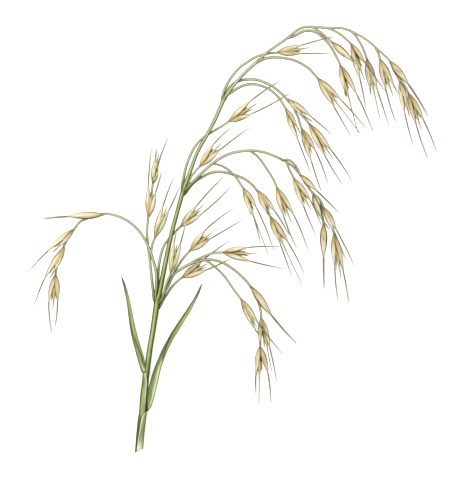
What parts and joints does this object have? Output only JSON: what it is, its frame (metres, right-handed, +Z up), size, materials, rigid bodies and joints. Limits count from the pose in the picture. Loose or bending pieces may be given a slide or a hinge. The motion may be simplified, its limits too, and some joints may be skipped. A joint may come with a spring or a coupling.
{
  "type": "cut ricegrass flowering stem",
  "caption": "Cut grass culm lying flat, with narrow sheathing leaves and a loose, one-sided nodding panicle of thin arching branches that carry straw-coloured, long-awned spikelets.",
  "frame": {"origin": "on the surface that the stem lies on, under the middle of its outline's box", "axes": "+Y from the cut end towards the top of the arching panicle, +X towards the side it nods to, +Z up from the surface"},
  "size_m": [0.2048, 0.2136, 0.019],
  "materials": {
    "culm": "smooth fresh green stem with fine lengthwise ribs",
    "leaf": "matte green leaf, browner towards the tip",
    "branch": "matte grey-green thread-like branch",
    "spikelet": "dry papery straw husk with tan edges and a grey awn"
  },
  "bodies": {
    "root": {"culm": "culm", "lower_leaf": "leaf", "upper_leaf": "leaf", "branch_crown_inner": "branch", "branch_crown_outer": "branch", "branch_left_arch": "branch", "branch_left_upright": "branch", "branch_lower_rear": "branch", "branch_middle_arch": "branch", "branch_middle_front": "branch", "branch_middle_rear": "branch", "branch_right_fan": "branch", "branch_right_low": "branch", "branch_upper_front": "branch", "branch_upper_middle": "branch", "branch_upper_rear": "branch", "spikelet_crown_inner_1": "spikelet", "spikelet_crown_outer_1": "spikelet", "spikelet_left_arch_1": "spikelet", "spikelet_left_arch_2": "spikelet", "spikelet_left_arch_3": "spikelet", "spikelet_left_arch_4": "spikelet", "spikelet_left_arch_5": "spikelet", "spikelet_left_upright_1": "spikelet", "spikelet_left_upright_2": "spikelet", "spikelet_lower_rear_1": "spikelet", "spikelet_middle_arch_1": "spikelet", "spikelet_middle_arch_2": "spikelet", "spikelet_middle_arch_3": "spikelet", "spikelet_middle_arch_4": "spikelet", "spikelet_middle_arch_5": "spikelet", "spikelet_middle_arch_6": "spikelet", "spikelet_middle_arch_7": "spikelet", "spikelet_middle_arch_8": "spikelet", "spikelet_middle_arch_9": "spikelet", "spikelet_middle_front_1": "spikelet", "spikelet_middle_front_2": "spikelet", "spikelet_middle_rear_1": "spikelet", "spikelet_nodding_tip_1": "spikelet", "spikelet_nodding_tip_2": "spikelet", "spikelet_nodding_tip_3": "spikelet", "spikelet_nodding_tip_4": "spikelet", "spikelet_nodding_tip_5": "spikelet", "spikelet_nodding_tip_6": "spikelet", "spikelet_nodding_tip_7": "spikelet", "spikelet_right_fan_1": "spikelet", "spikelet_right_fan_2": "spikelet", "spikelet_right_fan_3": "spikelet", "spikelet_right_fan_4": "spikelet", "spikelet_right_fan_5": "spikelet", "spikelet_right_fan_6": "spikelet", "spikelet_right_fan_7": "spikelet", "spikelet_right_low_1": "spikelet", "spikelet_upper_front_1": "spikelet", "spikelet_upper_middle_1": "spikelet", "spikelet_upper_middle_2": "spikelet", "spikelet_upper_middle_3": "spikelet", "spikelet_upper_rear_1": "spikelet"}
  },
  "joints": []
}
